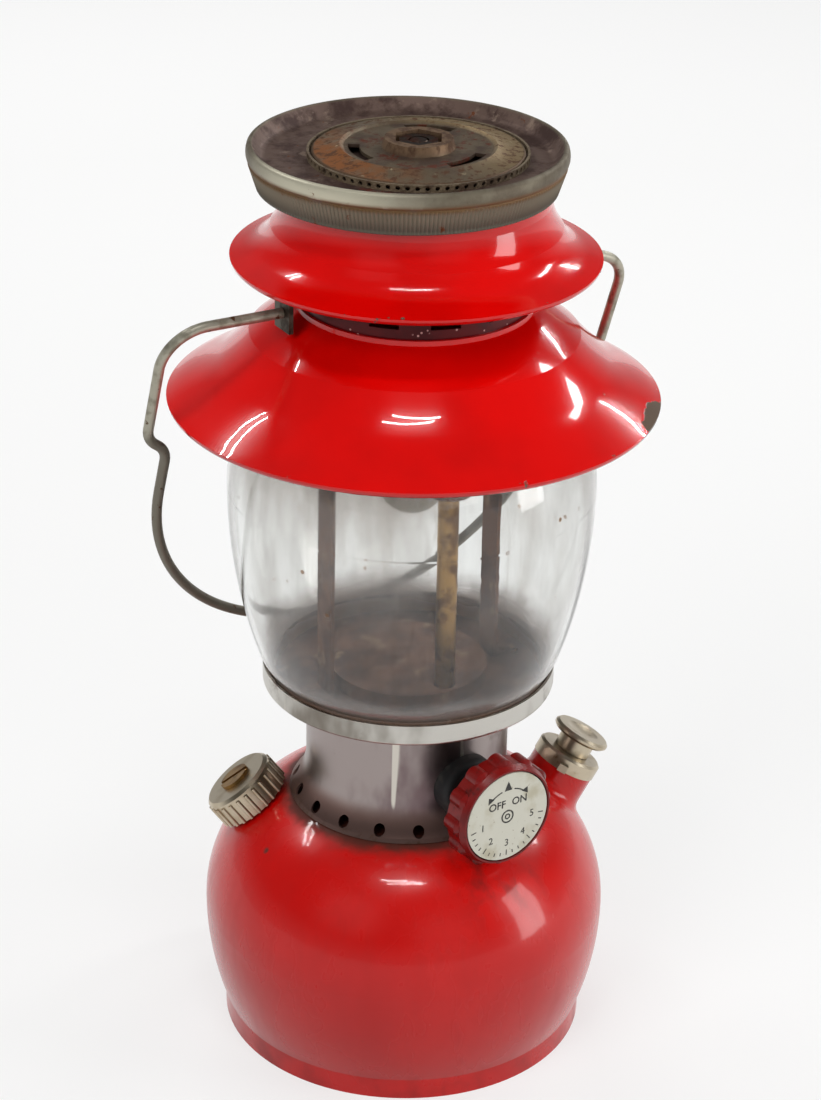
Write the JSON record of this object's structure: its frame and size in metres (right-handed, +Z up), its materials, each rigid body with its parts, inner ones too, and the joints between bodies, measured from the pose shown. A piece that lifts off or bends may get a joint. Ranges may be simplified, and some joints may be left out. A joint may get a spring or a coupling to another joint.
{
  "type": "gas lantern",
  "caption": "Tabletop gas lantern: red fuel tank with hand pump, nickel collar with valve wheel, clear glass globe, two-tier enamelled ventilator, round hot plate and wire bail.",
  "frame": {"origin": "centre of the tank's foot ring, on the plane the lantern stands on", "axes": "+Z up along the lantern's centre line, +X to the lantern's right when the valve wheel faces the viewer (the bail swings about X), -Y towards the valve wheel at the front"},
  "size_m": [0.1616, 0.15, 0.2993],
  "materials": {
    "red_enamel": "glossy vivid red porcelain enamel, a few chips down to grey-brown ground coat",
    "neck_enamel": "dark maroon enamel, heat dulled",
    "fount_paint": "semi-gloss red paint, grimy at the collar",
    "nickel": "aged nickel plate with faint vertical brushing and brown tarnish",
    "bail_steel": "dull grey wire",
    "plate_steel": "grey-beige ribbed rim, sooty face with rust spots",
    "cap_steel": "heat-tinted brown and gold steel with orange rust",
    "inner_steel": "plain steel, dulled by heat",
    "fastener_steel": "dark brown oxidised steel",
    "brass": "plain turned brass, dulled",
    "black_rubber": "matt black",
    "ear_steel": "dull dark grey steel",
    "wheel_plastic": "dark red moulded plastic, satin",
    "dial_face": null,
    "globe_glass": "clear, with a light grimy haze at the foot",
    "mantle_ash": "brittle white ash weave",
    "leather": "oiled brown leather",
    "gasket_rubber": "black rubber"
  },
  "bodies": {
    "base": {"fount_shell": "fount_paint", "base_pan": "inner_steel", "filler_neck": "brass", "pump_tube": "inner_steel", "pump_cap": "nickel", "check_valve": "brass", "check_ball": "inner_steel", "collar": "nickel", "globe_seat": "nickel", "floor_plate": "inner_steel", "frame": "inner_steel", "frame_rivets": "inner_steel", "frame_stud": "fastener_steel", "valve_bushing": "brass", "fuel_pipe": "brass", "valve_body": "brass", "packing_nut": "brass", "stem_boot": "black_rubber", "generator_nut": "brass", "generator_tube": "brass", "gas_tip": "brass", "mixing_pipe": "inner_steel", "mixing_clip": "inner_steel", "burner_cap": "inner_steel", "burner_gauze": "inner_steel", "mantle": "mantle_ash"},
    "valve_wheel": {"valve_stem": "brass", "valve_wheel": "wheel_plastic", "wheel_nut": "fastener_steel", "wheel_dial": "dial_face"},
    "needle": {"cleaning_needle": "inner_steel"},
    "pump_piston": {"pump_leather": "leather", "leather_washers": "inner_steel"},
    "pump_knob": {"pump_knob": "nickel"},
    "air_stem": {"air_stem": "inner_steel"},
    "filler_plug": {"filler_gasket": "gasket_rubber", "filler_insert": "brass"},
    "filler_cap": {"filler_cap": "nickel", "filler_screw": "brass"},
    "globe": {"globe": "globe_glass"},
    "ventilator": {"ventilator_lower": "red_enamel", "ventilator_neck": "neck_enamel", "ventilator_upper": "red_enamel", "ventilator_spider": "inner_steel", "globe_retainer": "inner_steel", "retainer_posts": "inner_steel", "bail_ear_left": "ear_steel", "bail_ear_right": "ear_steel", "hot_plate": "plate_steel", "plate_collar": "fastener_steel", "cap_screen": "cap_steel", "cap_body": "cap_steel"},
    "bail": {"bail": "bail_steel"},
    "top_washer": {"top_washer": "fastener_steel"},
    "top_nut": {"top_nut": "fastener_steel"}
  },
  "joints": [
    {"name": "valve_turn", "type": "hinge", "parent": "base", "child": "valve_wheel", "pos_m": [0, 0, 0.09718], "axis": [0.0785, -0.9969, 0], "range_deg": [0, 450]},
    {"name": "needle_lift", "type": "slide", "parent": "base", "child": "needle", "axis": [0, 0, -1], "range_m": [0, 0.0025]},
    {"name": "pump_stroke", "type": "slide", "parent": "base", "child": "pump_piston", "axis": [0.4908, -0.0954, 0.866], "range_m": [0, 0.048]},
    {"name": "pump_knob_turn", "type": "hinge", "parent": "pump_piston", "child": "pump_knob", "pos_m": [0.05389, -0.01047, 0.08019], "axis": [0.4908, -0.0954, 0.866], "range_deg": [0, 360]},
    {"name": "air_stem_turn", "type": "hinge", "parent": "base", "child": "air_stem", "pos_m": [0.05389, -0.01047, 0.08019], "axis": [0.4908, -0.0954, 0.866], "range_deg": [0, 360]},
    {"name": "filler_plug_lift", "type": "slide", "parent": "base", "child": "filler_plug", "axis": [-0.5438, 0.314, 0.7783], "range_m": [0, 0.0076]},
    {"name": "filler_cap_turn", "type": "hinge", "parent": "filler_plug", "child": "filler_cap", "pos_m": [-0.04244, 0.0245, 0.07447], "axis": [-0.5438, 0.314, 0.7783], "range_deg": [0, 1800]},
    {"name": "ventilator_lift", "type": "slide", "parent": "base", "child": "ventilator", "axis": [0, 0, 1], "range_m": [0, 0.15]},
    {"name": "globe_lift", "type": "slide", "parent": "base", "child": "globe", "axis": [0, 0, 1], "range_m": [0, 0.15]},
    {"name": "bail_swing", "type": "hinge", "parent": "ventilator", "child": "bail", "pos_m": [0, 0, 0.2523], "axis": [1, 0, 0], "range_deg": [0, 318]},
    {"name": "top_washer_lift", "type": "slide", "parent": "ventilator", "child": "top_washer", "axis": [0, 0, 1], "range_m": [0, 0.003]},
    {"name": "top_nut_turn", "type": "hinge", "parent": "top_washer", "child": "top_nut", "pos_m": [0, 0, 0.2971], "axis": [0, 0, 1], "range_deg": [0, 1080]}
  ],
  "couplings": [
    {"joint": "needle_lift", "follows": "valve_turn", "m_per_rad": 0.00031831},
    {"joint": "air_stem_turn", "follows": "pump_knob_turn", "ratio": 1},
    {"joint": "filler_plug_lift", "follows": "filler_cap_turn", "m_per_rad": 0.00023873},
    {"joint": "globe_lift", "follows": "ventilator_lift", "ratio": 1},
    {"joint": "top_nut_turn", "follows": "top_washer_lift", "rad_per_m": 6283}
  ]
}
